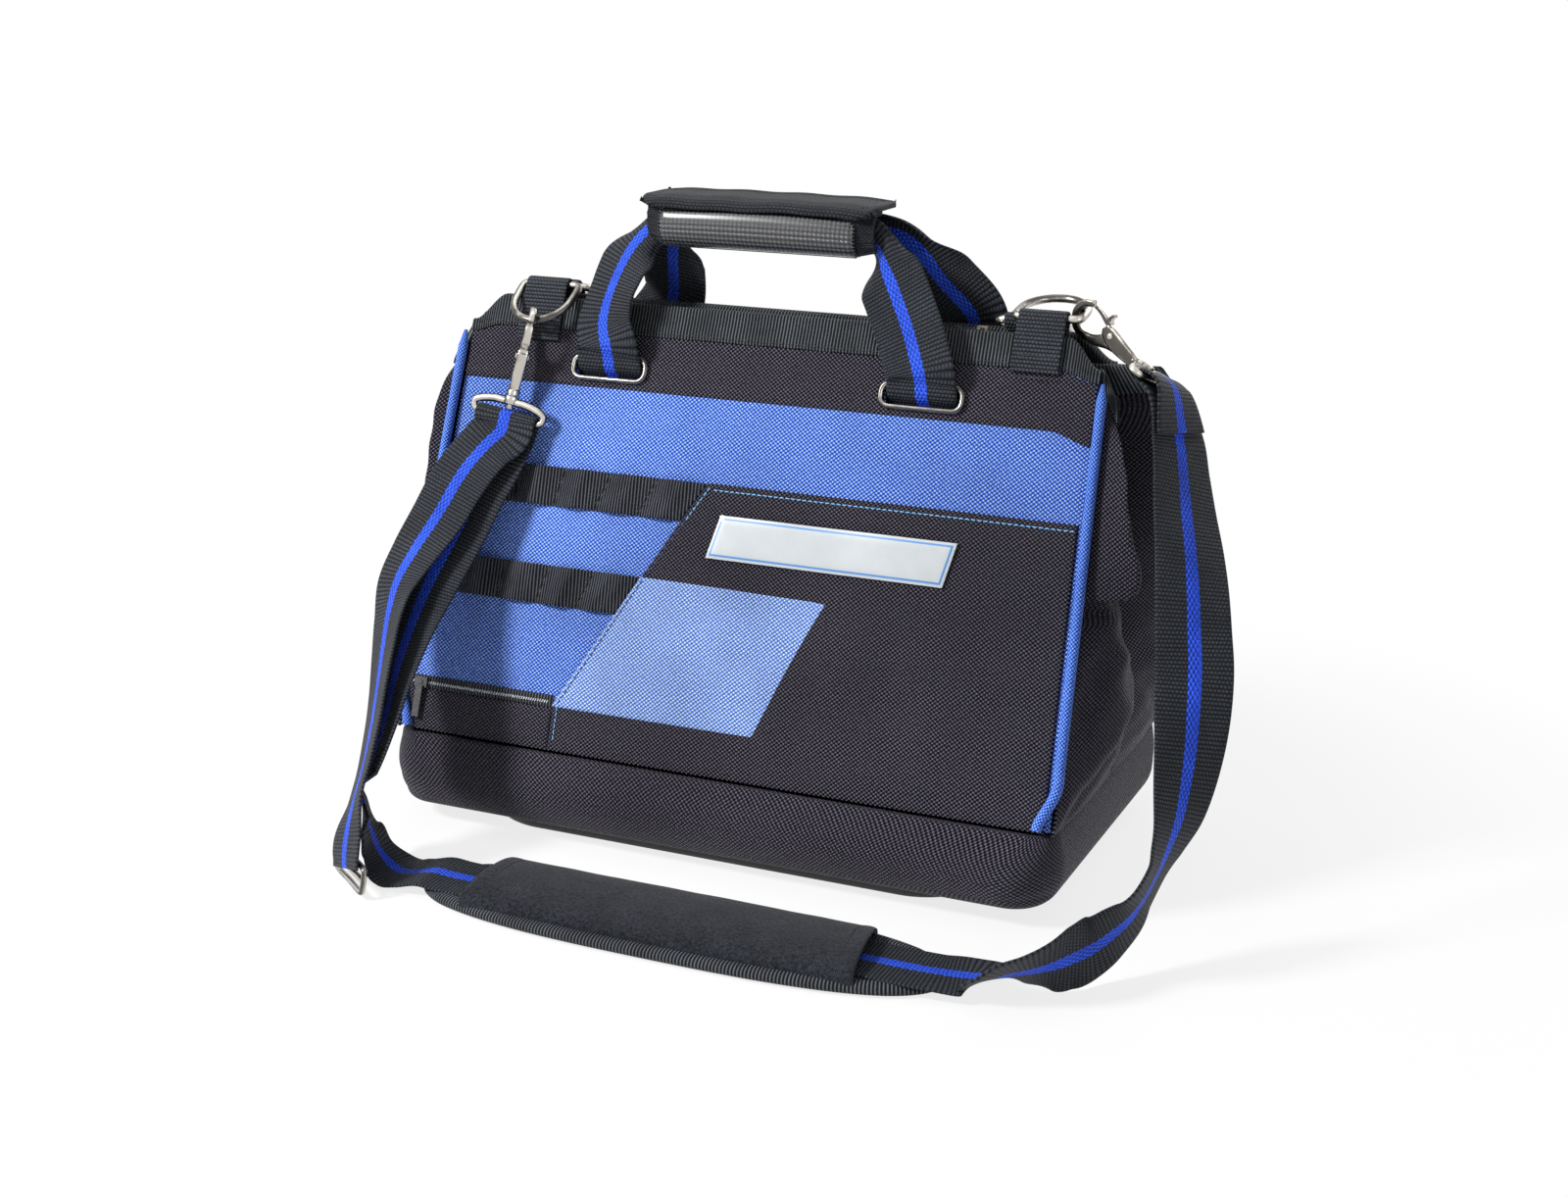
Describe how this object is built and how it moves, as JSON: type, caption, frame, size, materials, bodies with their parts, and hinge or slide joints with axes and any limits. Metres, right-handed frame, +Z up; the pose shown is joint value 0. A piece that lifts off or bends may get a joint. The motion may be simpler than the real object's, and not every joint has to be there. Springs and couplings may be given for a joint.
{
  "type": "zippered tool bag",
  "caption": "Wide-mouth zippered tool bag with a moulded tub, leaning side panels, folded end gussets, webbing handles joined by a grip, and a padded shoulder strap on snap hooks",
  "frame": {"origin": "middle of the base slab's underside", "axes": "+X along the bag to the right as seen from its front, +Y to its back, +Z up"},
  "size_m": [0.5056, 0.331, 0.3547],
  "materials": {
    "moulded_slab": "fine moulded grain",
    "black_cloth": "coarse coated plain weave",
    "blue_cloth": "plain weave",
    "lining": "smooth lining cloth",
    "webbing": "ribbed webbing, with a speckled blue stripe on the straps",
    "vinyl": "glossy embossed diamond grain",
    "label": "plain pale plate with a blue rim",
    "fleece": "brushed knit over foam",
    "nickel": "polished nickel plate"
  },
  "bodies": {
    "root": {"base_slab": "moulded_slab", "tub": "black_cloth", "base_board": "lining", "gusset_left_front": "black_cloth", "gusset_left_back": "black_cloth", "gusset_right_front": "black_cloth", "gusset_right_back": "black_cloth", "strap_left": "webbing", "strap_long": "webbing", "strap_adjuster": "nickel"},
    "front": {"front_panel": "blue_cloth", "front_top_band": "black_cloth", "front_binding": "webbing", "front_zip_tape": "webbing", "front_piping_left": "blue_cloth", "front_grommet_left": "nickel", "front_tab_left": "webbing", "front_piping_right": "blue_cloth", "front_grommet_right": "nickel", "front_tab_right": "webbing", "front_inner_pocket": "lining", "front_pocket": "black_cloth", "pocket_patch": "blue_cloth", "label_plate": "label", "webbing_row_upper": "webbing", "webbing_row_lower": "webbing", "zip_pocket": "black_cloth", "pocket_zip": "webbing"},
    "back": {"back_panel": "black_cloth", "back_top_band": "black_cloth", "back_binding": "webbing", "back_zip_tape": "webbing", "back_piping_left": "blue_cloth", "back_grommet_left": "nickel", "back_tab_left": "webbing", "back_piping_right": "blue_cloth", "back_grommet_right": "nickel", "back_tab_right": "webbing", "back_inner_pocket": "lining"},
    "zip_slider": {"zip_slider": "nickel"},
    "zip_pull": {"zip_pull": "nickel"},
    "pocket_slider": {"pocket_slider": "nickel"},
    "pocket_pull": {"pocket_pull": "nickel"},
    "front_handle": {"front_handle": "webbing", "grip_wrap": "webbing", "grip_facing": "vinyl"},
    "back_handle": {"back_handle": "webbing"},
    "grip_flap": {"grip_flap": "webbing"},
    "front_ring_left": {"front_ring_left": "nickel"},
    "front_ring_right": {"front_ring_right": "nickel"},
    "back_ring_left": {"back_ring_left": "nickel"},
    "back_ring_right": {"back_ring_right": "nickel"},
    "hook_left": {"hook_left": "nickel"},
    "hook_right": {"hook_right": "nickel"},
    "hook_trigger_left": {"hook_trigger_left": "nickel"},
    "hook_trigger_right": {"hook_trigger_right": "nickel"},
    "hook_loop_left": {"hook_loop_left": "nickel"},
    "hook_loop_right": {"hook_loop_right": "nickel"},
    "pad": {"pad_base": "fleece", "pad_sleeve": "fleece"}
  },
  "joints": [
    {"name": "mouth_front", "type": "hinge", "parent": "root", "child": "front", "pos_m": [0, -0.098, 0.0515], "axis": [1, 0, 0], "range_deg": [0, 20], "deforming": ["gusset_left_front", "gusset_right_front", "gusset_left_back", "gusset_right_back", "strap_left", "strap_long"]},
    {"name": "mouth_back", "type": "hinge", "parent": "root", "child": "back", "pos_m": [0, 0.098, 0.0515], "axis": [1, 0, 0], "range_deg": [-20, 0], "deforming": ["gusset_left_back", "gusset_right_back", "gusset_left_front", "gusset_right_front"]},
    {"name": "zip_slide", "type": "slide", "parent": "front", "child": "zip_slider", "axis": [1, 0, 0], "range_m": [-0.283, 0]},
    {"name": "zip_pull_swing", "type": "hinge", "parent": "zip_slider", "child": "zip_pull", "pos_m": [0.118, 0, 0.28975], "axis": [0, 1, 0], "range_deg": [0, 130]},
    {"name": "pocket_slide", "type": "slide", "parent": "front", "child": "pocket_slider", "axis": [1, -0.009, 0.0034], "range_m": [0, 0.075]},
    {"name": "pocket_pull_swing", "type": "hinge", "parent": "pocket_slider", "child": "pocket_pull", "pos_m": [-0.18415, -0.09343, 0.07676], "axis": [1, 0, 0], "range_deg": [-120, 0]},
    {"name": "front_handle_swing", "type": "hinge", "parent": "front", "child": "front_handle", "pos_m": [0, -0.02882, 0.25842], "axis": [1, 0, 0], "range_deg": [0, 140]},
    {"name": "back_handle_swing", "type": "hinge", "parent": "back", "child": "back_handle", "pos_m": [0, 0.02882, 0.25842], "axis": [1, 0, 0], "range_deg": [-140, 0]},
    {"name": "grip_flap_lift", "type": "hinge", "parent": "front_handle", "child": "grip_flap", "pos_m": [0, -0.017, 0.3523], "axis": [1, 0, 0], "range_deg": [0, 90]},
    {"name": "front_ring_left_swing", "type": "hinge", "parent": "front", "child": "front_ring_left", "pos_m": [-0.142, -0.00478, 0.29742], "axis": [1, 0, 0], "range_deg": [-20, 0], "deforming": ["strap_left"]},
    {"name": "front_ring_right_swing", "type": "hinge", "parent": "front", "child": "front_ring_right", "pos_m": [0.153, -0.00407, 0.2993], "axis": [1, 0, 0], "range_deg": [0, 20], "deforming": ["strap_long"]},
    {"name": "back_ring_left_swing", "type": "hinge", "parent": "back", "child": "back_ring_left", "pos_m": [-0.142, 0.00566, 0.29508], "axis": [1, 0, 0], "range_deg": [0, 80]},
    {"name": "back_ring_right_swing", "type": "hinge", "parent": "back", "child": "back_ring_right", "pos_m": [-0.142, 0.00566, 0.29508], "axis": [1, 0, 0], "range_deg": [0, 25]},
    {"name": "hook_left_swing", "type": "hinge", "parent": "front_ring_left", "child": "hook_left", "pos_m": [-0.1406, -0.02937, 0.2806], "axis": [1, 0, 0], "range_deg": [-25, 0], "deforming": ["strap_left"]},
    {"name": "hook_right_swing", "type": "hinge", "parent": "front_ring_right", "child": "hook_right", "pos_m": [0.1724, 0.00329, 0.30071], "axis": [0, 0.982, 0.1889], "range_deg": [-8, 8], "deforming": ["strap_long"]},
    {"name": "hook_trigger_left_press", "type": "hinge", "parent": "hook_left", "child": "hook_trigger_left", "pos_m": [-0.13997, -0.03893, 0.26608], "axis": [0.841, 0.468, -0.2715], "range_deg": [-18, 0], "stiffness_Nm_per_rad": 0.02},
    {"name": "hook_trigger_right_press", "type": "hinge", "parent": "hook_right", "child": "hook_trigger_right", "pos_m": [0.18824, -0.00339, 0.29803], "axis": [0.3705, 0.9223, -0.11], "range_deg": [-18, 0], "stiffness_Nm_per_rad": 0.02},
    {"name": "hook_loop_left_turn", "type": "hinge", "parent": "hook_left", "child": "hook_loop_left", "pos_m": [-0.14752, -0.04303, 0.23559], "axis": [0.1456, 0.2874, 0.9467], "range_deg": [-15, 15], "deforming": ["strap_left"]},
    {"name": "hook_loop_right_turn", "type": "hinge", "parent": "hook_right", "child": "hook_loop_right", "pos_m": [0.21187, -0.01536, 0.2773], "axis": [-0.7968, 0.3764, 0.4727], "range_deg": [-15, 15], "deforming": ["strap_long"]},
    {"name": "pad_slide", "type": "slide", "parent": "root", "child": "pad", "axis": [1, 0, 0], "range_m": [0, 0.02]}
  ],
  "couplings": [
    {"joint": "mouth_back", "follows": "mouth_front", "ratio": -1}
  ]
}
